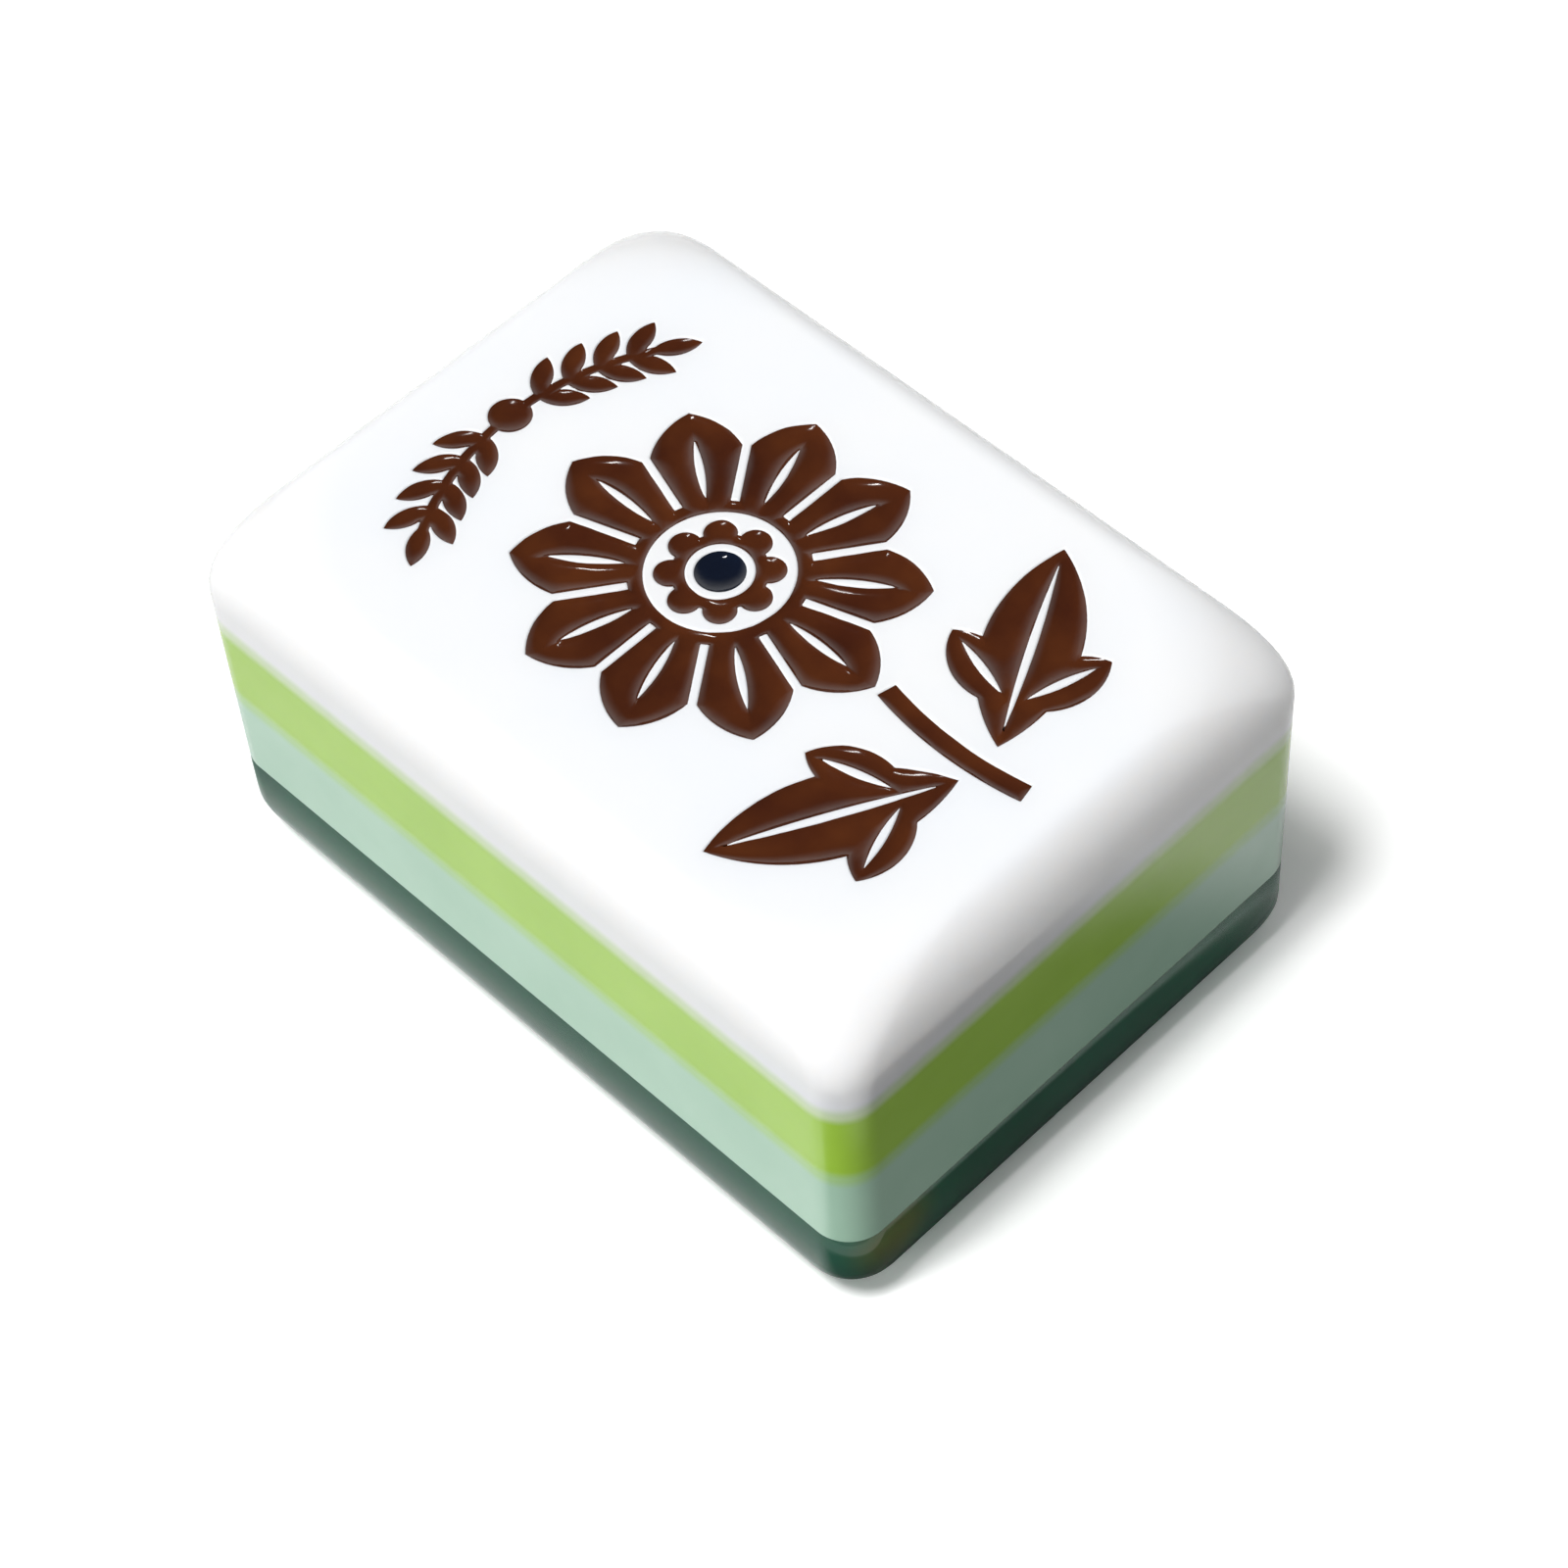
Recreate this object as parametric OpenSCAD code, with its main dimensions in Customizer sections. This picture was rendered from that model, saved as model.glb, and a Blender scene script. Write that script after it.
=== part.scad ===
// A flower tile for a tile game, lying on its back with the carved face up.
// Four slabs are bonded into one block, and the carving is filled with enamel.
// The origin is the middle of the underside, +Y is the head of the design.

/* [Block] */
// Length of the tile, from the foot of the design to its head
tile_length = 30; // [28:0.5:40]
// Width of the tile
tile_width = 21.6; // [20:0.2:30]
// Height of the tile from its underside to its face
tile_height = 15.4; // [14:0.2:20]
// Radius of the four upright edges, never less than the edge radius
corner_radius = 1.8; // [1.8:0.1:3]
// Radius round the rim of the face and of the underside
edge_radius = 1.8; // [0.8:0.1:1.8]

/* [Slabs] */
// Thickness of the white slab that carries the face
face_thickness = 4; // [2.6:0.1:4.4]
// Thickness of the lime slab under it
lime_thickness = 3.7; // [1:0.1:4]
// Thickness of the mint slab, under which the clear green slab takes up the rest of the height
mint_thickness = 3.7; // [1:0.1:4]

/* [Carving] */
// Depth of the carving below the face
carving_depth = 0.45; // [0.2:0.05:0.8]
// How far the enamel lies below the face
enamel_drop = 0.06; // [0.02:0.01:0.15]
// Width of the white lines left standing in the enamel
line_width = 0.3; // [0.2:0.02:0.4]

/* [Blossom] */
// Height of the blossom's centre above the middle of the face
blossom_rise = 0.8; // [0.4:0.1:1.2]
// Number of petals in the outer ring
petal_count = 10; // [8:1:12]
// Length of one petal
petal_length = 5; // [4.6:0.1:5.4]
// Widest part of one petal
petal_width = 3.3; // [2.8:0.1:3.7]
// Distance of a petal's middle from the blossom's centre
petal_reach = 4.4; // [4.2:0.1:4.6]
// Inner radius of the band that joins the petals
petal_band_radius = 2.5; // [2.3:0.05:2.6]
// Width of that band
petal_band_width = 0.5; // [0.4:0.05:0.7]
// Length of the white vein in each petal
vein_length = 2.6; // [1.8:0.1:3]
// Radius of the round heart of the blossom
heart_radius = 0.85; // [0.6:0.05:0.95]

/* [Rosette] */
// Number of lobes round the heart
lobe_count = 8; // [6:1:10]
// Radius of one lobe
lobe_radius = 0.56; // [0.45:0.01:0.6]
// Distance of a lobe's middle from the blossom's centre
lobe_reach = 1.6; // [1.45:0.05:1.65]

/* [Stem] */
// Width of the stem
stem_width = 0.7; // [0.5:0.05:0.9]
// Radius of the stem's bend
stem_bend_radius = 14; // [8:1:30]
// Length of the stem
stem_length = 5.95; // [4:0.05:6.4]
// Gap between the stem's top and the petal above it
stem_gap = 0.35; // [0.3:0.05:0.8]

/* [Leaves] */
// Length of a leaf
leaf_length = 8.2; // [7:0.1:8.6]
// Widest part of a leaf's blade
leaf_width = 3.2; // [2.8:0.1:3.6]
// Tilt of a leaf away from the length of the tile
leaf_tilt = 62; // [58:1:66]
// Distance of a leaf's middle from the middle line of the tile
leaf_reach = 4.5; // [4.45:0.05:4.8]
// Distance of a leaf's middle below the lowest petal tip
leaf_fall = 2.5; // [2.3:0.1:3]
// Length of each of the two side lobes of a leaf
side_lobe_length = 3.6; // [2.8:0.1:4]
// Widest part of a side lobe
side_lobe_width = 1.9; // [1.4:0.1:2.2]
// Angle between a side lobe and the leaf's midrib
side_lobe_angle = 46; // [36:1:54]

/* [Garland] */
// Gap between the petal tips and the middle of the garland's twig
garland_gap = 3; // [2:0.1:3.6]
// Angle that the garland spans
garland_angle = 66; // [56:2:72]
// Width of its twig
twig_width = 0.36; // [0.3:0.02:0.5]
// Radius of the berry at the top of the garland
berry_radius = 0.75; // [0.5:0.05:0.9]
// Number of leaflet pairs on each side of the berry
leaflet_count = 4; // [3:1:5]
// Length of one leaflet
leaflet_length = 1.8; // [1.4:0.1:2]
// Widest part of one leaflet
leaflet_width = 0.75; // [0.5:0.05:0.9]
// Angle between a leaflet and the twig
leaflet_angle = 42; // [30:1:55]

/* [Hidden] */
$fn = 180;

// Overrun of every cut past the surface that it opens
overrun = 0.5;
// Share of a leaf's length that its midrib takes
midrib_share = 0.86;
// Share of a leaf's length, from its middle back to its foot, at which the side lobes start
side_lobe_start_share = 0.3;
// Share of a side lobe's length that its vein takes
side_vein_share = 0.7;

face_z = tile_height - face_thickness;
lime_z = face_z - lime_thickness;
mint_z = lime_z - mint_thickness;
base_thickness = mint_z;
carving_floor = tile_height - carving_depth;
enamel_thickness = carving_depth - enamel_drop;
petal_tip = petal_reach + petal_length / 2;
stem_top = blossom_rise - petal_tip - stem_gap;
leaf_height = blossom_rise - petal_tip - leaf_fall;
garland_radius = petal_tip + garland_gap;

// A quarter of the plan, repeated in the four corners of the block
module in_four_corners() {
    for (side = [0, 1]) mirror([side, 0, 0])
        for (end = [0, 1]) mirror([0, end, 0])
            children();
}

// Upright section of a slab from its middle out to a rounded side
module side_section(reach, thickness, radius) {
    difference() {
        square([reach, thickness]);
        translate([reach - radius, thickness - radius]) difference() {
            square([radius + overrun, radius + overrun]);
            circle(radius);
        }
    }
}

// Slab with upright edges of corner_radius and one rim rounded by edge_radius
module rimmed_slab(thickness) {
    core_x = tile_width / 2 - corner_radius;
    core_y = tile_length / 2 - corner_radius;
    in_four_corners() {
        translate([core_x, core_y, 0])
            rotate_extrude(angle = 90) side_section(corner_radius, thickness, edge_radius);
        translate([core_x, core_y, 0]) rotate([90, 0, 0])
            linear_extrude(core_y) side_section(corner_radius, thickness, edge_radius);
        translate([0, core_y, 0]) rotate([90, 0, 90])
            linear_extrude(core_x) side_section(corner_radius, thickness, edge_radius);
        cube([core_x, core_y, thickness]);
    }
}

// Plan of the block between its rounded rims
module block_plan() {
    difference() {
        square([tile_width, tile_length], center = true);
        in_four_corners() translate([tile_width / 2 - corner_radius, tile_length / 2 - corner_radius])
            difference() {
                square([corner_radius + overrun, corner_radius + overrun]);
                circle(corner_radius);
            }
    }
}

// Pointed oval between two equal arcs, its length along Y
module pointed_oval(length, width) {
    arc_radius = (length * length / width + width) / 4;
    shift = arc_radius - width / 2;
    intersection() {
        translate([shift, 0]) circle(arc_radius);
        translate([-shift, 0]) circle(arc_radius);
    }
}

// Copies spread evenly round the blossom's centre
module around_blossom(count, turn = 0) {
    translate([0, blossom_rise])
        for (i = [0:count - 1]) rotate(turn + i * 360 / count) children();
}

// Band along an arc about the origin, from one angle to another, at most a half turn
module arc_band(radius, width, from_angle, to_angle) {
    far = 2 * (radius + width);
    middle_angle = (from_angle + to_angle) / 2;
    intersection() {
        difference() {
            circle(radius + width / 2);
            circle(radius - width / 2);
        }
        polygon([[0, 0], far * [cos(from_angle), sin(from_angle)],
                 far * [cos(middle_angle), sin(middle_angle)], far * [cos(to_angle), sin(to_angle)]]);
    }
}

// Outer ring of petals, parted by white lines and joined by a band at their feet
module petal_outline() {
    band_rim = petal_band_radius + petal_band_width;
    difference() {
        union() {
            around_blossom(petal_count) translate([0, petal_reach]) pointed_oval(petal_length, petal_width);
            translate([0, blossom_rise]) circle(band_rim);
        }
        translate([0, blossom_rise]) circle(petal_band_radius);
        around_blossom(petal_count, 180 / petal_count) translate([-line_width / 2, band_rim])
            square([line_width, petal_length]);
        around_blossom(petal_count) translate([0, petal_reach]) pointed_oval(vein_length, line_width);
    }
}

// Lobed ring inside the petals, open round the heart
module rosette_outline() {
    difference() {
        union() {
            around_blossom(lobe_count) translate([0, lobe_reach]) circle(lobe_radius);
            translate([0, blossom_rise]) circle(lobe_reach);
        }
        translate([0, blossom_rise]) circle(heart_radius + line_width);
    }
}

// Round heart of the blossom
module heart_outline() {
    translate([0, blossom_rise]) circle(heart_radius);
}

// Gently bent stem from below the lowest petal to the foot of the design
module stem_outline() {
    half_angle = asin(stem_length / 2 / stem_bend_radius);
    translate([stem_bend_radius * (1 + cos(half_angle)) / 2, stem_top - stem_length / 2])
        arc_band(stem_bend_radius, stem_width, 180 - half_angle, 180 + half_angle);
}

// Two copies placed as a leaf's side lobes, its tip up
module on_side_lobes() {
    translate([0, -side_lobe_start_share * leaf_length])
        for (side = [0, 1]) mirror([side, 0]) rotate(-side_lobe_angle)
            translate([0, side_lobe_length / 2]) children();
}

// One leaf on the right of the stem, with white lines left for its midrib and side veins
module leaf_outline() {
    translate([leaf_reach, leaf_height]) rotate(-leaf_tilt) difference() {
        union() {
            pointed_oval(leaf_length, leaf_width);
            on_side_lobes() pointed_oval(side_lobe_length, side_lobe_width);
        }
        pointed_oval(midrib_share * leaf_length, line_width);
        on_side_lobes() pointed_oval(side_vein_share * side_lobe_length, line_width);
    }
}

// Leaflet that springs from the twig, its tip away from the garland's middle
module leaflet(angle, sunk = 0) {
    rotate(90 + angle) translate([0, leaflet_length / 2 - sunk])
        pointed_oval(leaflet_length, leaflet_width);
}

// Twig round the head of the blossom, with a berry in its middle and leaflets along its sides
module garland_outline() {
    half_angle = garland_angle / 2;
    translate([0, blossom_rise]) {
        arc_band(garland_radius, twig_width, 90 - half_angle, 90 + half_angle);
        translate([0, garland_radius]) circle(berry_radius);
        for (end = [0, 1]) mirror([end, 0]) {
            for (i = [1:leaflet_count]) rotate(half_angle * i / (leaflet_count + 1))
                translate([0, garland_radius]) {
                    leaflet(leaflet_angle);
                    leaflet(-leaflet_angle);
                }
            rotate(half_angle) translate([0, garland_radius]) leaflet(0, twig_width);
        }
    }
}

// Enamel that fills an outline of the carving
module enamel() {
    translate([0, 0, carving_floor]) linear_extrude(enamel_thickness) children();
}

// Cut that the enamel lies in
module carving() {
    translate([0, 0, carving_floor]) linear_extrude(carving_depth + overrun) children();
}

module base_slab() {
    color("#3F6553") translate([0, 0, base_thickness]) mirror([0, 0, 1]) rimmed_slab(base_thickness);
}

module mint_slab() {
    color("#BFDDC4") translate([0, 0, mint_z]) linear_extrude(mint_thickness) block_plan();
}

module lime_slab() {
    color("#B6D871") translate([0, 0, lime_z]) linear_extrude(lime_thickness) block_plan();
}

module face_slab() {
    color("#F6F9F8") difference() {
        translate([0, 0, face_z]) rimmed_slab(face_thickness);
        carving() petal_outline();
        carving() rosette_outline();
        carving() heart_outline();
        carving() stem_outline();
        carving() leaf_outline();
        carving() mirror([1, 0]) leaf_outline();
        carving() garland_outline();
    }
}

module petal_enamel() {
    color("#582A14") enamel() petal_outline();
}

module rosette_enamel() {
    color("#582A14") enamel() rosette_outline();
}

module heart_enamel() {
    color("#1B2B49") enamel() heart_outline();
}

module stem_enamel() {
    color("#582A14") enamel() stem_outline();
}

module leaf_left_enamel() {
    color("#582A14") enamel() mirror([1, 0]) leaf_outline();
}

module leaf_right_enamel() {
    color("#582A14") enamel() leaf_outline();
}

module garland_enamel() {
    color("#582A14") enamel() garland_outline();
}

base_slab();
mint_slab();
lime_slab();
face_slab();
petal_enamel();
rosette_enamel();
heart_enamel();
stem_enamel();
leaf_left_enamel();
leaf_right_enamel();
garland_enamel();
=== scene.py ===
"""Looks of a flower tile for a tile game: four bonded slabs, and enamel in the carving of the white one.

Shapes are worked out in millimetres in the frame's own axes. +Y is the head of the design, and +Z points
out of the face.
"""
import math

import bmesh
import bpy
import numpy as np
from mathutils import Matrix, Vector, noise
from mathutils.geometry import delaunay_2d_cdt


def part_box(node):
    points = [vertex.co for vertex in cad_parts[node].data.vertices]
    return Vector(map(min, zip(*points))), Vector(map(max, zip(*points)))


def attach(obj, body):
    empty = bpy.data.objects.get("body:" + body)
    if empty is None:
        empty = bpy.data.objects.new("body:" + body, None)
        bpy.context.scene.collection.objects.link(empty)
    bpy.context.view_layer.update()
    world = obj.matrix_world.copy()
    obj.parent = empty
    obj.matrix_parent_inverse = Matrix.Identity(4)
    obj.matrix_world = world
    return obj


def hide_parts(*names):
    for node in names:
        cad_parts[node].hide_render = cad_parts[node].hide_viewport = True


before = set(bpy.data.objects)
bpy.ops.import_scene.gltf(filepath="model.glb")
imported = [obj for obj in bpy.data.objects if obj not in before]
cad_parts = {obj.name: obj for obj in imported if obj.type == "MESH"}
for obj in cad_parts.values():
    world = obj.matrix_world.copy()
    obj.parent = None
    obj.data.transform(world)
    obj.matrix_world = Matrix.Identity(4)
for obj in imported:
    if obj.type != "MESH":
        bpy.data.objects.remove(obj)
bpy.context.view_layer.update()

MM = 0.001

# Sizes taken from the frame, in millimetres
half_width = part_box("face_slab")[1].x / MM
half_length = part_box("face_slab")[1].y / MM
tile_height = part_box("face_slab")[1].z / MM
face_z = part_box("face_slab")[0].z / MM
lime_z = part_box("lime_slab")[0].z / MM
mint_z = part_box("mint_slab")[0].z / MM
carving_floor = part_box("petal_enamel")[0].z / MM

# The finished block is worn softer than its plain solid: its corners widen towards the rims,
# and the rims are taller than they are wide
corner_radius = 1.48
corner_growth = 3.0
face_rim_radius = 1.63
face_rim_height = 2.7
foot_rim_radius = 1.48
foot_rim_height = 1.9
corner_steps = 20
rim_steps = 14
guard = 0.12
bond_overlap = 0.01
weld_distance = 0.0004

# Named sizes of the carving, as the solids have them
line_width = 0.3
blossom_rise = 0.8
petal_count = 10
petal_length = 5.0
petal_width = 3.3
petal_reach = 4.4
petal_band_radius = 2.5
petal_band_width = 0.5
vein_length = 2.6
heart_radius = 0.85
lobe_count = 8
lobe_radius = 0.56
lobe_reach = 1.6
stem_width = 0.7
stem_bend_radius = 14.0
stem_length = 5.95
stem_gap = 0.35
leaf_length = 8.2
leaf_width = 3.2
leaf_tilt = 62.0
leaf_reach = 4.5
leaf_fall = 2.5
side_lobe_length = 3.6
side_lobe_width = 1.9
side_lobe_angle = 46.0
midrib_share = 0.86
side_lobe_start_share = 0.3
side_vein_share = 0.7
garland_gap = 3.0
garland_angle = 66.0
twig_width = 0.36
berry_radius = 0.75
leaflet_count = 4
leaflet_length = 1.8
leaflet_width = 0.75
leaflet_angle = 42.0

petal_tip = petal_reach + petal_length / 2
stem_top = blossom_rise - petal_tip - stem_gap
leaf_height = blossom_rise - petal_tip - leaf_fall
garland_radius = petal_tip + garland_gap

# Finish of the carving
cut_rim = 0.06
cut_guard = 0.03
contact_drop = 0.045
contact_waver = 0.03
contact_wave = 0.55
contact_wave_slice = 3.7
enamel_dip = 0.27
enamel_creep = 0.3
contour_cell = 0.04
contour_turn = 6.0
contour_step = 0.35
contour_corrections = 2
shortest_contour = 6
slope_step = 0.0001
plan_tolerance = 1e-7
least_double_area = 1e-9
enamel_wall_steps = (0.035, 0.08, 0.14, 0.22)
enamel_point_step = 0.16
enamel_point_margin_share = 0.4
enamel_rounds = 400
enamel_least_weight = 0.02
enamel_most_weight = 20


# Distance from outlines of the carving: below zero inside, in millimetres

def moved(x, y, angle=0.0, at=(0.0, 0.0)):
    """Coordinates in a frame that lies at a point and is turned by an angle in degrees."""
    c, s = math.cos(math.radians(angle)), math.sin(math.radians(angle))
    u, v = x - at[0], y - at[1]
    return c * u + s * v, c * v - s * u


def folded(x, y, count, turn=0.0):
    """Coordinates folded into one of the equal sectors round the origin, its middle along Y."""
    step = 2 * math.pi / count
    angle = np.arctan2(x, y) - math.radians(turn)
    angle = angle - step * np.round(angle / step)
    radius = np.hypot(x, y)
    return radius * np.sin(angle), radius * np.cos(angle)


def circle(x, y, radius):
    return np.hypot(x, y) - radius


def pointed_oval(x, y, length, width):
    arc_radius = (length * length / width + width) / 4
    shift = arc_radius - width / 2
    return np.hypot(np.abs(x) + shift, y) - arc_radius


def arc_band(x, y, radius, width, half_angle):
    """Band along an arc about the origin, its middle along Y, cut off square to the arc."""
    a = math.radians(half_angle)
    ends = np.abs(x) * math.cos(a) - y * math.sin(a)
    return np.maximum(np.abs(np.hypot(x, y) - radius) - width / 2, ends)


def petals(x, y):
    y = y - blossom_rise
    band_rim = petal_band_radius + petal_band_width
    u, v = folded(x, y, petal_count)
    between_u, between_v = folded(x, y, petal_count, 180 / petal_count)
    shape = np.minimum(pointed_oval(u, v - petal_reach, petal_length, petal_width), circle(x, y, band_rim))
    parting = np.maximum(np.abs(between_u) - line_width / 2, band_rim - between_v)
    vein = pointed_oval(u, v - petal_reach, vein_length, line_width)
    opening = circle(x, y, petal_band_radius)
    return np.maximum(shape, -np.minimum(np.minimum(parting, vein), opening))


def rosette(x, y):
    y = y - blossom_rise
    u, v = folded(x, y, lobe_count)
    shape = np.minimum(circle(u, v - lobe_reach, lobe_radius), circle(x, y, lobe_reach))
    return np.maximum(shape, -circle(x, y, heart_radius + line_width))


def heart(x, y):
    return circle(x, y - blossom_rise, heart_radius)


def stem(x, y):
    half_angle = math.degrees(math.asin(stem_length / 2 / stem_bend_radius))
    centre_x = stem_bend_radius * (1 + math.cos(math.radians(half_angle))) / 2
    u, v = moved(x, y, 90, (centre_x, stem_top - stem_length / 2))
    return arc_band(u, v, stem_bend_radius, stem_width, half_angle)


def side_lobes(x, y, length, width):
    """The two side lobes of a leaf, or the veins in them."""
    y = y + side_lobe_start_share * leaf_length
    both = []
    for side in (1, -1):
        u, v = moved(side * x, y, -side_lobe_angle)
        both.append(pointed_oval(u, v - side_lobe_length / 2, length, width))
    return np.minimum(*both)


def right_leaf(x, y):
    u, v = moved(x, y, -leaf_tilt, (leaf_reach, leaf_height))
    blade = pointed_oval(u, v, leaf_length, leaf_width)
    shape = np.minimum(blade, side_lobes(u, v, side_lobe_length, side_lobe_width))
    midrib = pointed_oval(u, v, midrib_share * leaf_length, line_width)
    veins = side_lobes(u, v, side_vein_share * side_lobe_length, line_width)
    return np.maximum(shape, -np.minimum(midrib, veins))


def left_leaf(x, y):
    return right_leaf(-x, y)


def leaflet(x, y, angle, sunk=0.0):
    u, v = moved(x, y, 90 + angle)
    return pointed_oval(u, v - leaflet_length / 2 + sunk, leaflet_length, leaflet_width)


def garland(x, y):
    y = y - blossom_rise
    half_angle = garland_angle / 2
    shape = np.minimum(arc_band(x, y, garland_radius, twig_width, half_angle),
                       circle(x, y - garland_radius, berry_radius))
    for i in range(1, leaflet_count + 1):
        u, v = moved(-np.abs(x), y, half_angle * i / (leaflet_count + 1))
        for angle in (leaflet_angle, -leaflet_angle):
            shape = np.minimum(shape, leaflet(u, v - garland_radius, angle))
    u, v = moved(-np.abs(x), y, half_angle)
    return np.minimum(shape, leaflet(u, v - garland_radius, 0, twig_width))


outlines = {
    "petal_enamel": petals,
    "rosette_enamel": rosette,
    "heart_enamel": heart,
    "stem_enamel": stem,
    "leaf_left_enamel": left_leaf,
    "leaf_right_enamel": right_leaf,
    "garland_enamel": garland,
}


def whole_carving(x, y):
    return np.minimum.reduce([outline(x, y) for outline in outlines.values()])


# Contours of an outline

def slope(outline, points):
    """Gradient of an outline's distance at points."""
    x, y = points.T
    across = outline(x + slope_step, y) - outline(x - slope_step, y)
    along = outline(x, y + slope_step) - outline(x, y - slope_step)
    return np.stack([across, along], axis=1) / (2 * slope_step)


def crossings(values, xs, ys):
    """Points where a grid's values change sign along its edges, and pairs of them that a cell joins."""
    inside = values < 0
    flat_change = inside[:, 1:] != inside[:, :-1]
    up_change = inside[1:, :] != inside[:-1, :]
    flat_id = np.full(flat_change.shape, -1)
    up_id = np.full(up_change.shape, -1)
    r, c = np.nonzero(flat_change)
    share = values[r, c] / (values[r, c] - values[r, c + 1])
    points = [np.stack([xs[c] + share * (xs[c + 1] - xs[c]), ys[r]], axis=1)]
    flat_id[r, c] = np.arange(len(r))
    first_up = len(r)
    r, c = np.nonzero(up_change)
    share = values[r, c] / (values[r, c] - values[r + 1, c])
    points.append(np.stack([xs[c], ys[r] + share * (ys[r + 1] - ys[r])], axis=1))
    up_id[r, c] = first_up + np.arange(len(r))
    cell_edges = np.stack([flat_id[:-1], up_id[:, 1:], flat_id[1:], up_id[:, :-1]], axis=-1)
    cell_edges = cell_edges.reshape(-1, 4)
    count = (cell_edges >= 0).sum(axis=1)
    pairs = [np.sort(cell_edges[count == 2], axis=1)[:, 2:]]
    middle = (values[:-1, :-1] + values[1:, :-1] + values[:-1, 1:] + values[1:, 1:]).reshape(-1)
    corner = values[:-1, :-1].reshape(-1)
    for s in np.nonzero(count == 4)[0]:
        low, right, high, left = cell_edges[s]
        joined = (middle[s] < 0) == (corner[s] < 0)
        pairs.append(np.array([[low, right], [high, left]] if joined else [[low, left], [high, right]]))
    return np.concatenate(points), np.concatenate(pairs)


def loops_of(pairs):
    """Closed runs of point numbers from the pairs that join them."""
    beside = {}
    for a, b in pairs.tolist():
        beside.setdefault(a, []).append(b)
        beside.setdefault(b, []).append(a)
    seen = set()
    loops = []
    for start in sorted(beside):
        if start in seen:
            continue
        loop = []
        here = start
        while here is not None:
            loop.append(here)
            seen.add(here)
            here = next((n for n in beside[here] if n not in seen), None)
        loops.append(loop)
    return loops


def thinned(points, normals):
    """Point numbers of a loop that are kept: enough to follow its bends."""
    kept = [0]
    turn_limit = math.cos(math.radians(contour_turn))
    for i in range(1, len(points)):
        last = kept[-1]
        turned = normals[i] @ normals[last] < turn_limit
        far = np.hypot(*(points[i] - points[last])) > contour_step
        if turned or far:
            if i - 1 > last:
                kept.append(i - 1)
            if normals[i] @ normals[i - 1] < turn_limit:
                kept.append(i)
    return kept


def contours(outline, level):
    """Loops of points along which an outline's distance has one value."""
    reach_x, reach_y = half_width - face_rim_radius, half_length - face_rim_radius
    xs = np.arange(-reach_x, reach_x + contour_cell, contour_cell)
    ys = np.arange(-reach_y, reach_y + contour_cell, contour_cell)
    values = outline(*np.meshgrid(xs, ys)) - level
    points, pairs = crossings(values, xs, ys)
    for _ in range(contour_corrections):
        gradient = slope(outline, points)
        miss = outline(*points.T) - level
        points = points - gradient * (miss / (gradient ** 2).sum(axis=1))[:, None]
    normals = slope(outline, points)
    normals = normals / np.linalg.norm(normals, axis=1)[:, None]
    loops = []
    for loop in loops_of(pairs):
        if len(loop) < shortest_contour:
            continue
        run = points[loop]
        kept = thinned(run, normals[loop])
        if len(kept) > 2:
            loops.append(run[kept])
    return loops


# Triangles in the plan

def triangulated(loops, loose=()):
    """Points of the plan and its triangles, which face up, with an edge along every loop."""
    points = []
    edges = []
    for loop in loops:
        first = len(points)
        points.extend(Vector(p) for p in loop)
        edges.extend((first + i, first + (i + 1) % len(loop)) for i in range(len(loop)))
    points.extend(Vector(p) for p in loose)
    found, _, faces, _, _, _ = delaunay_2d_cdt(points, edges, [], 0, plan_tolerance)
    found = np.array([tuple(p) for p in found])
    faces = np.array([f for f in faces if len(f) == 3])
    corners = found[faces]
    side_a = corners[:, 1] - corners[:, 0]
    side_b = corners[:, 2] - corners[:, 0]
    double_area = side_a[:, 0] * side_b[:, 1] - side_a[:, 1] * side_b[:, 0]
    faces[double_area < 0] = faces[double_area < 0][:, ::-1]
    return found, faces[np.abs(double_area) > least_double_area]


def border(faces):
    """Edges that only one triangle has, in its own direction."""
    edges = np.concatenate([faces[:, [0, 1]], faces[:, [1, 2]], faces[:, [2, 0]]])
    keys = np.sort(edges, axis=1)
    _, index, count = np.unique(keys, axis=0, return_index=True, return_counts=True)
    return edges[index[count == 1]]


def inside_of(outline, points, faces):
    """Whether each triangle's middle lies in the outline."""
    return outline(*points[faces].mean(axis=1).T) < 0


def raised(points, height):
    """Points of the plan at one height, or each at its own."""
    return np.column_stack([points, np.broadcast_to(height, len(points))])


# Meshes

class Shell:
    """Points and faces of one closed piece, in millimetres, gathered part by part."""

    def __init__(self):
        self.points = []
        self.faces = []
        self.smooth = []

    def add(self, points, faces, smooth=True):
        first = len(self.points)
        self.points.extend(tuple(float(c) for c in p) for p in points)
        self.faces.extend(tuple(first + int(i) for i in face) for face in faces)
        self.smooth.extend([smooth] * len(faces))

    def piece(self, name):
        mesh = bpy.data.meshes.new(name)
        mesh.from_pydata([tuple(c * MM for c in p) for p in self.points], [], self.faces)
        mesh.polygons.foreach_set("use_smooth", self.smooth)
        build = bmesh.new()
        build.from_mesh(mesh)
        bmesh.ops.remove_doubles(build, verts=build.verts, dist=weld_distance * MM)
        for edge in build.edges:
            edge.smooth = all(face.smooth for face in edge.link_faces)
        build.to_mesh(mesh)
        build.free()
        obj = bpy.data.objects.new(name, mesh)
        bpy.context.scene.collection.objects.link(obj)
        return obj


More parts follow.
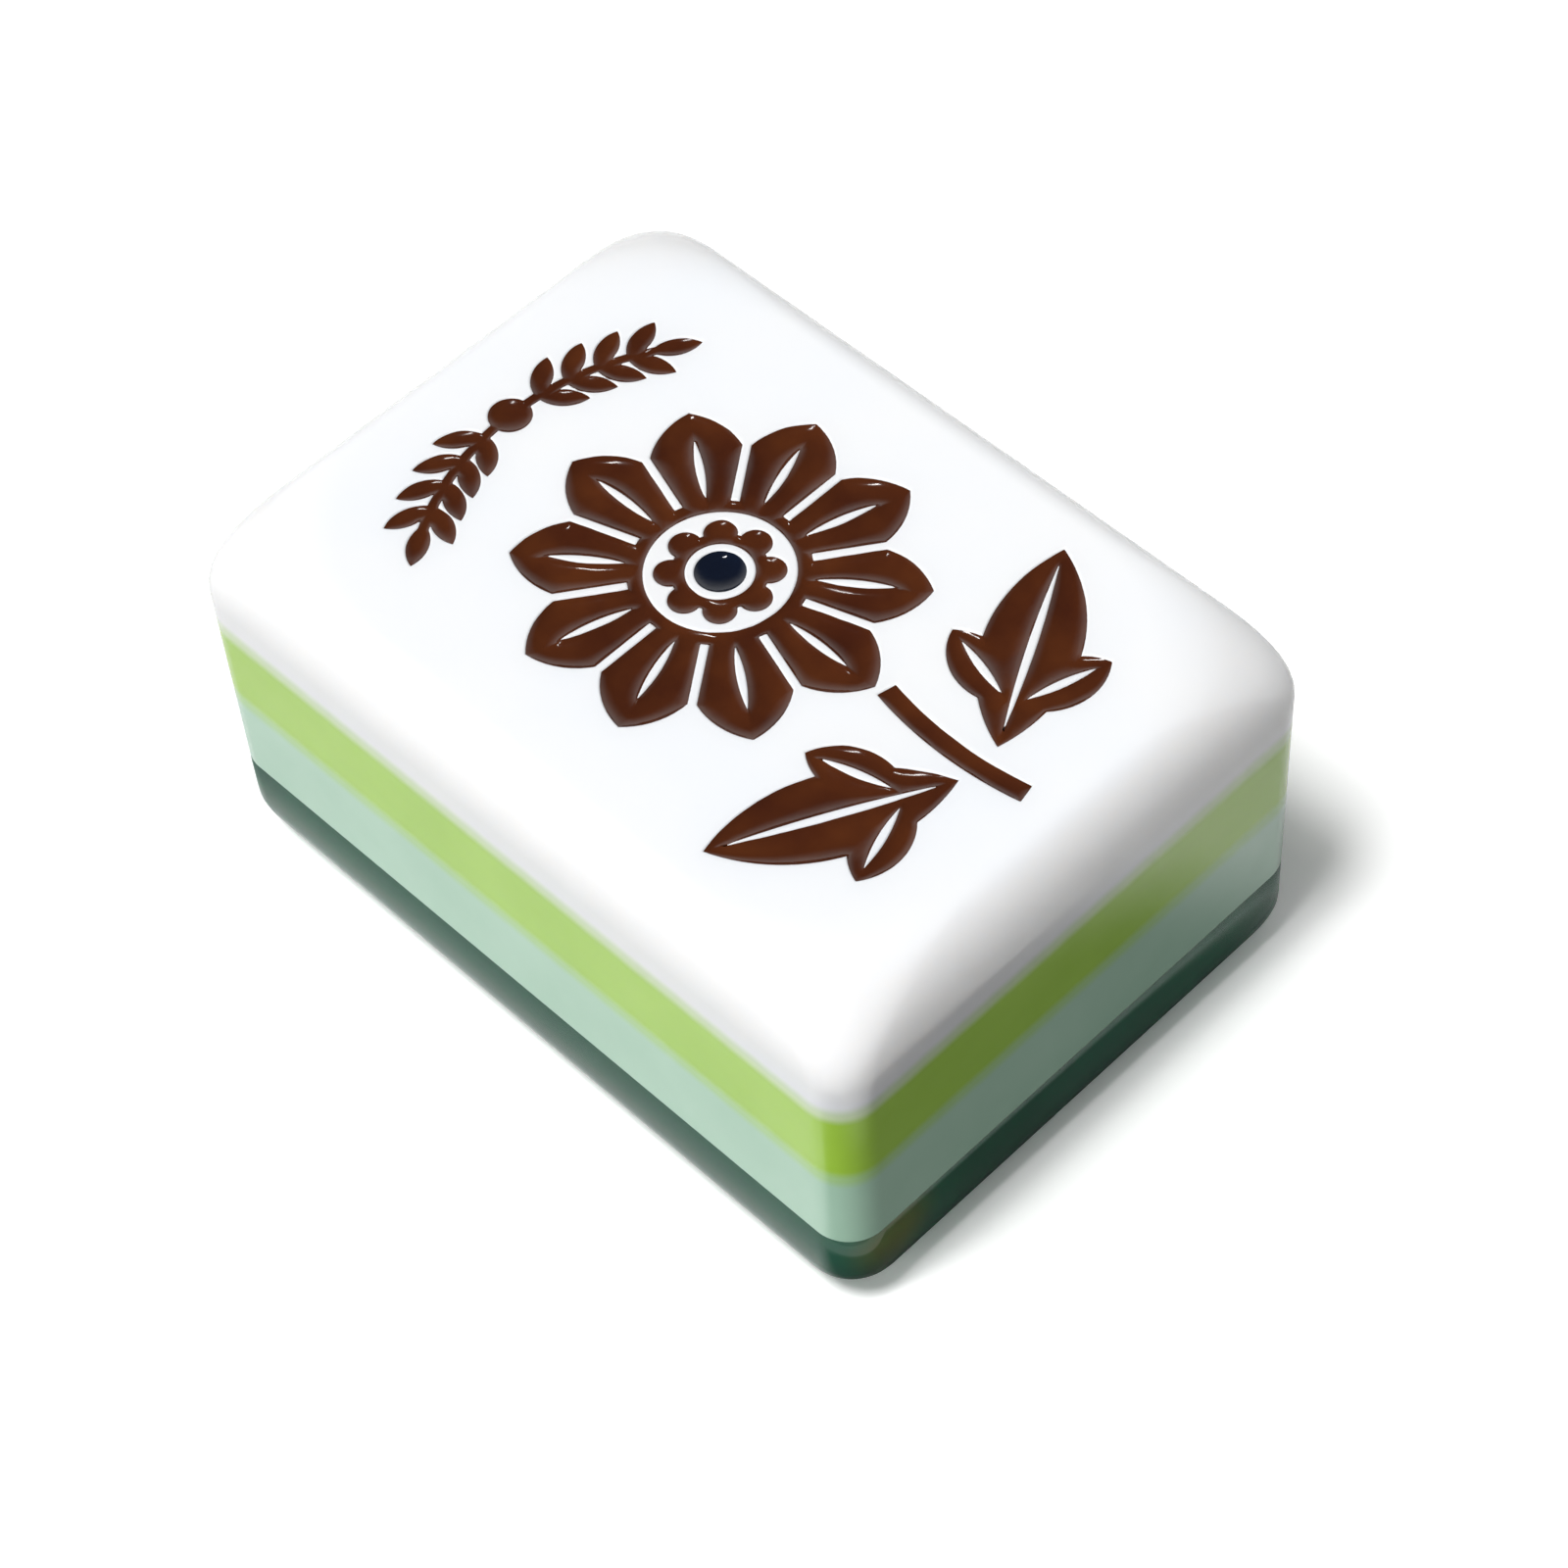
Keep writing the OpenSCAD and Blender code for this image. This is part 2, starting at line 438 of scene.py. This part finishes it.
def plan_ring(inset):
    """Plan of the block at an inset from its sides, counter-clockwise, in millimetres."""
    radius = corner_radius + corner_growth * inset
    core_x = half_width - inset - radius
    core_y = half_length - inset - radius
    points = []
    for quarter in range(4):
        centre = (core_x * (1, -1, -1, 1)[quarter], core_y * (1, 1, -1, -1)[quarter])
        start = math.radians(90 * quarter)
        turns = [start + math.radians(90) * i / corner_steps for i in range(corner_steps + 1)]
        arc = [(centre[0] + radius * math.cos(a), centre[1] + radius * math.sin(a)) for a in turns]
        before = (arc[0][0] + guard * math.sin(turns[0]), arc[0][1] - guard * math.cos(turns[0]))
        after = (arc[-1][0] - guard * math.sin(turns[-1]), arc[-1][1] + guard * math.cos(turns[-1]))
        points.extend([before] + arc + [after])
    return points


def stacked(shell, levels):
    """Skin through plan rings, each level a pair of inset and height from the bottom up."""
    rings = [[(x, y, z) for x, y in plan_ring(inset)] for inset, z in levels]
    count = len(rings[0])
    faces = []
    for level in range(len(rings) - 1):
        for i in range(count):
            j = (i + 1) % count
            faces.append((level * count + i, level * count + j,
                          (level + 1) * count + j, (level + 1) * count + i))
    shell.add([p for ring in rings for p in ring], faces)


def capped(shell, inset, z, upward):
    """Flat plane across the block, on a face that lies against another slab or the table."""
    ring = [(x, y, z) for x, y in plan_ring(inset)]
    order = list(range(len(ring)))
    shell.add(ring, [order if upward else order[::-1]], smooth=False)


def rim_levels(radius, height, from_angle, to_angle, centre_z):
    """Levels along a rounded rim that is taller than it is wide, its angle 0 at the upright side."""
    levels = []
    for i in range(rim_steps + 1):
        a = math.radians(from_angle + (to_angle - from_angle) * i / rim_steps)
        levels.append((radius * (1 - math.cos(a)), centre_z + height * math.sin(a)))
    return levels


def straight_slab(name, low, high):
    shell = Shell()
    stacked(shell, [(0, low), (0, high)])
    capped(shell, 0, low, False)
    capped(shell, 0, high, True)
    return shell.piece(name)


def foot_slab(name, high):
    """Clear slab at the foot.

    Its top reaches a hair into the slab above, so that light in it meets that slab.
    """
    shell = Shell()
    levels = [(foot_rim_radius + guard, 0)]
    levels += rim_levels(foot_rim_radius, foot_rim_height, -90, 0, foot_rim_height)
    levels += [(0, foot_rim_height + guard), (0, high), (bond_overlap, high + bond_overlap)]
    stacked(shell, levels)
    capped(shell, foot_rim_radius + guard, 0, False)
    capped(shell, bond_overlap, high + bond_overlap, True)
    return shell.piece(name)


def carved_slab(name, low, edges):
    """White slab with its carving: a rounded rim along every edge, upright walls and a flat floor."""
    shell = Shell()
    rim_start = tile_height - face_rim_height
    levels = [(0, low), (0, rim_start - guard)]
    levels += rim_levels(face_rim_radius, face_rim_height, 0, 90, rim_start)
    levels.append((face_rim_radius + guard, tile_height))
    stacked(shell, levels)
    capped(shell, 0, low, False)
    loops = [np.array(plan_ring(face_rim_radius + guard))] + edges
    for level in (cut_rim * (1 - math.sin(math.radians(45))), cut_rim, cut_rim + cut_guard):
        loops.extend(contours(whole_carving, level))
    points, faces = triangulated(loops)
    cut = inside_of(whole_carving, points, faces)
    depth = cut_rim - np.clip(whole_carving(*points.T), 0, cut_rim)
    height = tile_height - cut_rim + np.sqrt(cut_rim ** 2 - depth ** 2)
    shell.add(raised(points, height), faces[~cut])
    floor = raised(points, carving_floor)
    shell.add(floor, faces[cut], smooth=False)
    wall_top = raised(points, tile_height - cut_rim)
    walls = [(a, b, b + len(points), a + len(points)) for b, a in border(faces[cut])]
    shell.add(np.concatenate([wall_top, floor]), walls, smooth=False)
    return shell.piece(name)


def settled(points, faces, wall, contact):
    """Height of wet enamel that creeps up its walls: a skin whose pull fades over enamel_creep."""
    pull = np.zeros(len(points))
    weights = []
    for k in range(3):
        a, b, c = faces[:, k], faces[:, (k + 1) % 3], faces[:, (k + 2) % 3]
        to_b, to_c = points[b] - points[a], points[c] - points[a]
        double_area = np.abs(to_b[:, 0] * to_c[:, 1] - to_b[:, 1] * to_c[:, 0])
        weights.append((b, c, 0.5 * (to_b * to_c).sum(axis=1) / double_area))
        np.add.at(pull, a, double_area / 6)
    b, c, w = (np.concatenate(part) for part in zip(*weights))
    w = np.clip(w, enamel_least_weight, enamel_most_weight)
    total = pull / enamel_creep ** 2
    total = total + np.bincount(b, w, len(points)) + np.bincount(c, w, len(points))
    lift = np.where(wall, contact, 0.0)
    for _ in range(enamel_rounds):
        flow = np.bincount(b, w * lift[c], len(points)) + np.bincount(c, w * lift[b], len(points))
        lift = np.where(wall, contact, flow / total)
    return lift


def spread_points(outline, margin):
    """Even points inside an outline, at least a margin from its edge."""
    xs = np.arange(-half_width, half_width, enamel_point_step)
    ys = np.arange(-half_length, half_length, enamel_point_step * math.sqrt(3) / 2)
    x, y = np.meshgrid(xs, ys)
    x = x + enamel_point_step / 2 * (np.arange(len(ys)) % 2)[:, None]
    points = np.stack([x.ravel(), y.ravel()], axis=1)
    return points[outline(*points.T) < -margin]


def enamel_piece(name, outline, edges):
    """Enamel that fills one outline of the carving: its surface dips away from the walls."""
    loops = list(edges)
    for step in enamel_wall_steps:
        loops.extend(contours(outline, -step))
    loose = spread_points(outline, enamel_wall_steps[-1] + enamel_point_margin_share * enamel_point_step)
    points, faces = triangulated(loops, loose)
    faces = faces[inside_of(outline, points, faces)]
    used = np.unique(faces)
    renumber = np.full(len(points), -1)
    renumber[used] = np.arange(len(used))
    points, faces = points[used], renumber[faces]
    wall = np.zeros(len(points), bool)
    wall[np.unique(border(faces))] = True
    places = [Vector((x / contact_wave, y / contact_wave, contact_wave_slice)) for x, y in points]
    waver = np.array([noise.noise(place) for place in places])
    lift = settled(points, faces, wall, enamel_dip + contact_waver * waver)
    height = tile_height - contact_drop - enamel_dip + lift
    shell = Shell()
    top, floor = raised(points, height), raised(points, carving_floor)
    shell.add(top, faces)
    walls = [(b, a, a + len(points), b + len(points)) for a, b in border(faces)]
    shell.add(np.concatenate([top, floor]), walls, smooth=False)
    floor_points, floor_faces = triangulated(edges)
    floor_faces = floor_faces[inside_of(outline, floor_points, floor_faces)]
    shell.add(raised(floor_points, carving_floor), floor_faces[:, ::-1], smooth=False)
    return shell.piece(name)


# Materials

def srgb(red, green, blue):
    """Colour as seen on a screen, from 0 to 255, as the shader's linear value."""
    parts = []
    for part in (red, green, blue):
        share = part / 255
        parts.append(share / 12.92 if share <= 0.04045 else ((share + 0.055) / 1.055) ** 2.4)
    return (*parts, 1.0)


class Finish:
    """Node material with one Principled shader and the object's own coordinates."""

    def __init__(self, name, **values):
        self.material = bpy.data.materials.new(name)
        self.material.use_nodes = True
        self.nodes = self.material.node_tree.nodes
        self.links = self.material.node_tree.links
        self.nodes.clear()
        self.output = self.nodes.new("ShaderNodeOutputMaterial")
        self.shader = self.nodes.new("ShaderNodeBsdfPrincipled")
        self.links.new(self.shader.outputs[0], self.output.inputs["Surface"])
        self.place = self.nodes.new("ShaderNodeTexCoord").outputs["Object"]
        for socket, value in values.items():
            self.shader.inputs[socket.replace("_", " ")].default_value = value

    def link(self, source, target):
        self.links.new(source, target)
        return target

    def noise(self, per_mm, detail=2.0):
        """Noise with so many grains to the millimetre, from 0 to 1."""
        node = self.nodes.new("ShaderNodeTexNoise")
        node.inputs["Scale"].default_value = per_mm / MM
        node.inputs["Detail"].default_value = detail
        self.link(self.place, node.inputs["Vector"])
        return node.outputs["Fac"]

    def span(self, source, low, high, to_low=0.0, to_high=1.0, smooth=False):
        """A value spread from one range to another and held at its ends."""
        node = self.nodes.new("ShaderNodeMapRange")
        if smooth:
            node.interpolation_type = "SMOOTHSTEP"
        ends = {"From Min": low, "From Max": high, "To Min": to_low, "To Max": to_high}
        for socket, value in ends.items():
            node.inputs[socket].default_value = value
        self.link(source, node.inputs["Value"])
        return node.outputs["Result"]

    def math(self, operation, a, b):
        node = self.nodes.new("ShaderNodeMath")
        node.operation = operation
        for socket, value in zip(node.inputs, (a, b)):
            if isinstance(value, (int, float)):
                socket.default_value = value
            else:
                self.link(value, socket)
        return node.outputs[0]

    def mix(self, share, a, b):
        """Mix of two colours, each a colour or another node's output."""
        node = self.nodes.new("ShaderNodeMix")
        node.data_type = "RGBA"
        self.link(share, node.inputs["Factor"])
        for name, value in (("A", a), ("B", b)):
            socket = [s for s in node.inputs if s.name == name and s.type == "RGBA"][0]
            if isinstance(value, tuple):
                socket.default_value = value
            else:
                self.link(value, socket)
        return [s for s in node.outputs if s.type == "RGBA"][0]

    def along(self, axis):
        """Coordinate along one axis of the frame, in millimetres."""
        split = self.nodes.new("ShaderNodeSeparateXYZ")
        self.link(self.place, split.inputs[0])
        return self.math("DIVIDE", split.outputs[axis], MM)

    def distance(self, point):
        """Distance from a point of the frame, in millimetres."""
        node = self.nodes.new("ShaderNodeVectorMath")
        node.operation = "DISTANCE"
        node.inputs[1].default_value = [value * MM for value in point]
        self.link(self.place, node.inputs[0])
        return self.math("DIVIDE", node.outputs["Value"], MM)

    def bump(self, source, depth_mm):
        node = self.nodes.new("ShaderNodeBump")
        node.inputs["Strength"].default_value = 1.0
        node.inputs["Distance"].default_value = depth_mm * MM
        self.link(source, node.inputs["Height"])
        self.link(node.outputs[0], self.shader.inputs["Normal"])

    def colour(self, source):
        self.link(source, self.shader.inputs["Base Color"])

    def roughness(self, source):
        self.link(source, self.shader.inputs["Roughness"])


resin_ior = 1.49
enamel_ior = 1.5

white = srgb(250, 251, 252)
white_cool = srgb(246, 249, 253)
lime = srgb(172, 217, 68)
lime_deep = srgb(165, 211, 58)
mint = srgb(183, 221, 197)
mint_deep = srgb(174, 214, 189)
brown = srgb(86, 42, 17)
brown_deep = srgb(66, 28, 12)
navy = srgb(17, 27, 46)
navy_deep = srgb(9, 15, 30)
clear_green_light = srgb(110, 212, 178)
clear_green_deep = srgb(84, 188, 152)
# Colour of the painted glow beside the clear slab's front corner, which stands for light seen through the
# slab
painted_glow_colour = srgb(232, 224, 120)
absorbed_green = (0.05, 0.5, 0.4, 1.0)
absorption_per_metre = 200.0
clear_share = 0.88

# Soft clouds and firmer patches, both from noise, and the waves that the wheel and the enamel leave
cloud_detail = 3.0
cloud_low = 0.35
cloud_high = 0.65
patch_low = 0.3
patch_high = 0.7
gloss_per_mm = 0.6
gloss_detail = 4.0
wheel_per_mm = 0.35
wheel_detail = 3.0
wheel_depth = 0.004
enamel_wave_depth = 0.006

# Half the width over which two slabs' colours pass into each other, and how far and often it wavers
boundary_blur = 0.55
boundary_waver = 0.05
boundary_waver_per_mm = 0.8

# Depth to which light soaks into the white slab, and how that fades towards the bond and the face
soak_depth = 2.0
soak_by_colour = (1.0, 0.95, 0.9)
soak_above_bond = 1.9
soak_below_face = 0.5
soak_face_skin = 0.02
soak_at_bond = 0.1
soak_at_face = 0.12

# Painted glow in the clear slab beside its front corner: an olive patch mixed into its colour, for light
# that shows through the slab there
painted_glow_from_corner = 2.1
painted_glow_height = 3.0
painted_glow_core = 0.3
painted_glow_reach = 2.2


def layered(finish, own, neighbours):
    """Colour that passes softly into the slabs above and below, as light seeps through the bond."""
    waver = finish.span(finish.noise(boundary_waver_per_mm), 0, 1, -boundary_waver, boundary_waver)
    height = finish.math("ADD", finish.along("Z"), waver)
    colour = own
    for z, other in neighbours:
        distance = finish.math("ABSOLUTE", finish.math("SUBTRACT", height, z), 0.0)
        share = finish.span(distance, 0, boundary_blur, 0.5, 0.0, smooth=True)
        colour = finish.mix(share, colour, other)
    return colour


def clouded(finish, first, second, per_mm):
    """Colour that drifts between two tones in soft clouds, so many to the millimetre."""
    cloud = finish.span(finish.noise(per_mm, cloud_detail), cloud_low, cloud_high)
    return finish.mix(cloud, first, second)


def uneven_gloss(finish, least_rough, most_rough):
    """Roughness that varies a little between two values."""
    patches = finish.noise(gloss_per_mm, gloss_detail)
    finish.roughness(finish.span(patches, patch_low, patch_high, least_rough, most_rough))


def polish(finish, least_rough, most_rough):
    """Polished resin: faint waves left by the wheel, and gloss that varies a little."""
    uneven_gloss(finish, least_rough, most_rough)
    finish.bump(finish.noise(wheel_per_mm, wheel_detail), wheel_depth)


def white_resin():
    """White resin that light soaks into, least at its face and at its bond with the lime slab."""
    finish = Finish("white_resin", IOR=resin_ior, Subsurface_Scale=soak_depth * MM,
                    Subsurface_Radius=soak_by_colour)
    height = finish.along("Z")
    above_bond = finish.span(height, face_z, face_z + soak_above_bond, soak_at_bond, 1.0, smooth=True)
    fade_start, fade_end = tile_height - soak_below_face, tile_height - soak_face_skin
    below_face = finish.span(height, fade_start, fade_end, 1.0, soak_at_face, smooth=True)
    soak = finish.math("MULTIPLY", above_bond, below_face)
    finish.link(soak, finish.shader.inputs["Subsurface Weight"])
    own = clouded(finish, white, white_cool, per_mm=0.12)
    finish.colour(layered(finish, own, [(face_z, lime)]))
    polish(finish, least_rough=0.08, most_rough=0.16)
    return finish.material


def lime_resin():
    finish = Finish("lime_resin", IOR=resin_ior)
    own = clouded(finish, lime, lime_deep, per_mm=0.2)
    finish.colour(layered(finish, own, [(face_z, white), (lime_z, mint)]))
    polish(finish, least_rough=0.1, most_rough=0.18)
    return finish.material


def mint_resin():
    finish = Finish("mint_resin", IOR=resin_ior)
    own = clouded(finish, mint, mint_deep, per_mm=0.2)
    finish.colour(layered(finish, own, [(lime_z, lime)]))
    polish(finish, least_rough=0.1, most_rough=0.18)
    return finish.material


def clear_green():
    """Clear green resin that absorbs light on its way, and a painted olive glow beside the front corner.
    """
    finish = Finish("clear_green", IOR=resin_ior, Transmission_Weight=clear_share)
    own = clouded(finish, clear_green_deep, clear_green_light, per_mm=0.16)
    # Painted glow: olive mixed into the colour near the front corner, for light seen through the slab
    # there
    painted_glow_centre = (painted_glow_from_corner - half_width, -half_length, painted_glow_height)
    painted_glow_share = finish.span(finish.distance(painted_glow_centre), painted_glow_core, painted_glow_reach, 1.0, 0.0, smooth=True)
    finish.colour(finish.mix(painted_glow_share, own, painted_glow_colour))
    uneven_gloss(finish, least_rough=0.0, most_rough=0.03)
    absorb = finish.nodes.new("ShaderNodeVolumeAbsorption")
    absorb.inputs["Color"].default_value = absorbed_green
    absorb.inputs["Density"].default_value = absorption_per_metre
    finish.link(absorb.outputs[0], finish.output.inputs["Volume"])
    return finish.material


def enamel_finish(name, light, deep):
    finish = Finish(name, IOR=enamel_ior)
    patches = finish.span(finish.noise(per_mm=0.45, detail=4.0), patch_low, patch_high)
    finish.colour(finish.mix(patches, light, deep))
    gloss = finish.noise(per_mm=1.2, detail=3.0)
    finish.roughness(finish.span(gloss, patch_low, patch_high, to_low=0.06, to_high=0.16))
    finish.bump(finish.noise(per_mm=1.6), enamel_wave_depth)
    return finish.material


# Pieces

def add_piece(obj, node, slot, material):
    obj.data.materials.append(material)
    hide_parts(node)
    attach(obj, "root")


def build_tile():
    brown_enamel = "brown_enamel", enamel_finish("brown_enamel", brown, brown_deep)
    navy_enamel = "navy_enamel", enamel_finish("navy_enamel", navy, navy_deep)
    edges = {node: contours(outline, 0.0) for node, outline in outlines.items()}
    all_edges = [loop for loops in edges.values() for loop in loops]
    add_piece(foot_slab("clear_foot", mint_z), "base_slab", "clear_green", clear_green())
    add_piece(straight_slab("mint_layer", mint_z, lime_z), "mint_slab", "mint", mint_resin())
    add_piece(straight_slab("lime_layer", lime_z, face_z), "lime_slab", "lime", lime_resin())
    add_piece(carved_slab("white_face", face_z, all_edges), "face_slab", "white", white_resin())
    for node, outline in outlines.items():
        piece = enamel_piece(node.replace("_enamel", "_fill"), outline, edges[node])
        add_piece(piece, node, *(navy_enamel if node == "heart_enamel" else brown_enamel))


# Stage

floor_drop = 0.02
floor_reach = 1500.0
floor_rim_points = 48
floor_tone = 0.15
floor_tone_dip = 0.98
floor_camera_lift = 1.09
floor_mirror_lift = 0.86

# Oval of shaded floor by the near end that the tile mirrors darker, and where it gives way to open floor
floor_shade_x = -4.0
floor_shade_y = -16.0
floor_shade_half_x = 13.0
floor_shade_half_y = 5.6
floor_shade_core = 0.8
floor_shade_end = 1.8
floor_open_from_y = -14.4
floor_open_to_y = -12.4

# Room that the gloss mirrors: bright up to a low height, then darker towards the ceiling
ambient_level = 0.36
ceiling_level = 0.08
horizon_top = 0.35
ceiling_start = 0.7


def open_floor(finish):
    """How open the floor is where the tile mirrors it: 0 in the oval of shade, 1 away from it."""
    across = finish.math("SUBTRACT", finish.along("X"), floor_shade_x)
    ahead = finish.math("SUBTRACT", finish.along("Y"), floor_shade_y)
    across = finish.math("POWER", finish.math("DIVIDE", across, floor_shade_half_x), 2.0)
    ahead = finish.math("POWER", finish.math("DIVIDE", ahead, floor_shade_half_y), 2.0)
    reach = finish.math("ADD", across, ahead)
    outside = finish.span(reach, floor_shade_core, floor_shade_end, smooth=True)
    beside = finish.span(finish.along("Y"), floor_open_from_y, floor_open_to_y, smooth=True)
    return finish.math("MAXIMUM", beside, outside)


def floor_paper():
    """Paper of one dim tone for the light, and lifted to white for what sees or mirrors it."""
    finish = Finish("floor_paper", Roughness=1.0)
    finish.shader.inputs["Specular IOR Level"].default_value = 0.0
    tones = [(floor_tone * share,) * 3 + (1,) for share in (1.0, floor_tone_dip)]
    finish.colour(finish.mix(finish.noise(per_mm=0.02, detail=3.0), *tones))
    path = finish.nodes.new("ShaderNodeLightPath")
    seen = finish.math("MAXIMUM", path.outputs["Is Camera Ray"], path.outputs["Is Transmission Ray"])
    lift = finish.math("MULTIPLY", seen, floor_camera_lift)
    mirrored = finish.math("MULTIPLY", open_floor(finish), floor_mirror_lift)
    mirrored = finish.math("MULTIPLY", path.outputs["Is Glossy Ray"], mirrored)
    lift = finish.math("ADD", lift, mirrored)
    grey = finish.nodes.new("ShaderNodeCombineColor")
    for channel in grey.inputs:
        finish.link(lift, channel)
    bright = finish.nodes.new("ShaderNodeBsdfDiffuse")
    finish.link(grey.outputs[0], bright.inputs["Color"])
    both = finish.nodes.new("ShaderNodeAddShader")
    finish.link(finish.shader.outputs[0], both.inputs[0])
    finish.link(bright.outputs[0], both.inputs[1])
    finish.link(both.outputs[0], finish.output.inputs["Surface"])
    return finish.material


def build_floor():
    """Pale floor that looks white to the camera where it is lit, and keeps the shadow."""
    mesh = bpy.data.meshes.new("floor")
    turns = [2 * math.pi * i / floor_rim_points for i in range(floor_rim_points)]
    rim = [(floor_reach * MM * math.cos(a), floor_reach * MM * math.sin(a), 0) for a in turns]
    mesh.from_pydata(rim, [], [tuple(range(floor_rim_points))])
    mesh.materials.append(floor_paper())
    floor = bpy.data.objects.new("floor", mesh)
    floor.location.z = -floor_drop * MM
    bpy.context.scene.collection.objects.link(floor)


def build_world():
    """Dim room with a bright horizon and a dark ceiling; the camera sees it white."""
    world = bpy.data.worlds.new("studio")
    bpy.context.scene.world = world
    world.use_nodes = True
    nodes, links = world.node_tree.nodes, world.node_tree.links
    nodes.clear()
    output = nodes.new("ShaderNodeOutputWorld")
    background = nodes.new("ShaderNodeBackground")
    links.new(background.outputs[0], output.inputs["Surface"])
    path = nodes.new("ShaderNodeLightPath")
    split = nodes.new("ShaderNodeSeparateXYZ")
    links.new(nodes.new("ShaderNodeTexCoord").outputs["Generated"], split.inputs[0])
    climb = nodes.new("ShaderNodeMapRange")
    climb.inputs["From Min"].default_value = horizon_top
    climb.inputs["From Max"].default_value = ceiling_start
    climb.inputs["To Min"].default_value = 1.0
    climb.inputs["To Max"].default_value = ceiling_level
    links.new(split.outputs["Z"], climb.inputs["Value"])
    gloss = nodes.new("ShaderNodeMath")
    gloss.operation = "MAXIMUM"
    links.new(path.outputs["Is Glossy Ray"], gloss.inputs[0])
    links.new(path.outputs["Is Transmission Ray"], gloss.inputs[1])
    reflected = nodes.new("ShaderNodeMix")
    links.new(gloss.outputs[0], reflected.inputs["Factor"])
    reflected.inputs["A"].default_value = ambient_level
    links.new(climb.outputs["Result"], reflected.inputs["B"])
    seen = nodes.new("ShaderNodeMix")
    links.new(path.outputs["Is Camera Ray"], seen.inputs["Factor"])
    links.new(reflected.outputs["Result"], seen.inputs["A"])
    seen.inputs["B"].default_value = 1.0
    links.new(seen.outputs["Result"], background.inputs["Strength"])


def lit_from(lamp, azimuth, elevation, distance=0.0):
    """Lamp that shines from a direction. Its azimuth goes counter-clockwise from +X, in degrees."""
    obj = bpy.data.objects.new(lamp.name, lamp)
    a, e = math.radians(azimuth), math.radians(elevation)
    toward = Vector((math.cos(a) * math.cos(e), math.sin(a) * math.cos(e), math.sin(e)))
    obj.location = toward * distance * MM
    obj.rotation_euler = toward.to_track_quat("Z", "Y").to_euler()
    obj.visible_transmission = False
    bpy.context.scene.collection.objects.link(obj)
    return obj


def sun(name, azimuth, elevation, strength, angle):
    """Soft distant lamp that leaves no mirror image."""
    lamp = bpy.data.lights.new(name, "SUN")
    lamp.energy = strength
    lamp.angle = math.radians(angle)
    lit_from(lamp, azimuth, elevation).visible_glossy = False


def strip(name, azimuth, elevation, distance, length, width, radiance):
    """Small bright lamp that shows as glints in the gloss. Its length lies along Y."""
    lamp = bpy.data.lights.new(name, "AREA")
    lamp.shape = "RECTANGLE"
    lamp.size = width * MM
    lamp.size_y = length * MM
    lamp.energy = radiance * math.pi * length * width * MM ** 2
    lit_from(lamp, azimuth, elevation, distance)


def build_lamps():
    sun("key", azimuth=170, elevation=69, strength=1.97, angle=17)
    sun("side", azimuth=176, elevation=12, strength=1.32, angle=40)
    sun("fill", azimuth=275, elevation=12, strength=0.15, angle=60)
    strip("glint", azimuth=172, elevation=77, distance=600, length=110, width=30, radiance=36.0)


# Camera, fitted to the photograph, whose frame is a square

image_side = 1600
sensor_mm = 36.0
camera_azimuth = -41.51
camera_elevation = 53.23
camera_roll = -4.57
camera_distance = 140.97
focal_pixels = 4265.3
aim_height = 6.0
aim_right = 1.03
aim_up = -0.78
nearest_seen = 1.0
farthest_seen = 10000.0


def build_camera():
    az, el, roll = (math.radians(v) for v in (camera_azimuth, camera_elevation, camera_roll))
    back = Vector((math.sin(az) * math.cos(el), -math.cos(az) * math.cos(el), math.sin(el)))
    right = (-back).cross(Vector((0, 0, 1))).normalized()
    up = right.cross(-back)
    rolled_right = right * math.cos(roll) + up * math.sin(roll)
    rolled_up = up * math.cos(roll) - right * math.sin(roll)
    aim = Vector((0, 0, aim_height)) + rolled_right * aim_right + rolled_up * aim_up
    data = bpy.data.cameras.new("camera")
    data.sensor_width = sensor_mm
    data.lens = focal_pixels / image_side * sensor_mm
    data.clip_start = nearest_seen * MM
    data.clip_end = farthest_seen * MM
    camera = bpy.data.objects.new("camera", data)
    turn = Matrix((rolled_right, rolled_up, back)).transposed()
    camera.matrix_world = Matrix.Translation((aim + back * camera_distance) * MM) @ turn.to_4x4()
    bpy.context.scene.collection.objects.link(camera)
    bpy.context.scene.camera = camera


build_camera()
build_tile()
build_floor()
build_world()
build_lamps()
bpy.context.scene.view_settings.view_transform = "Standard"
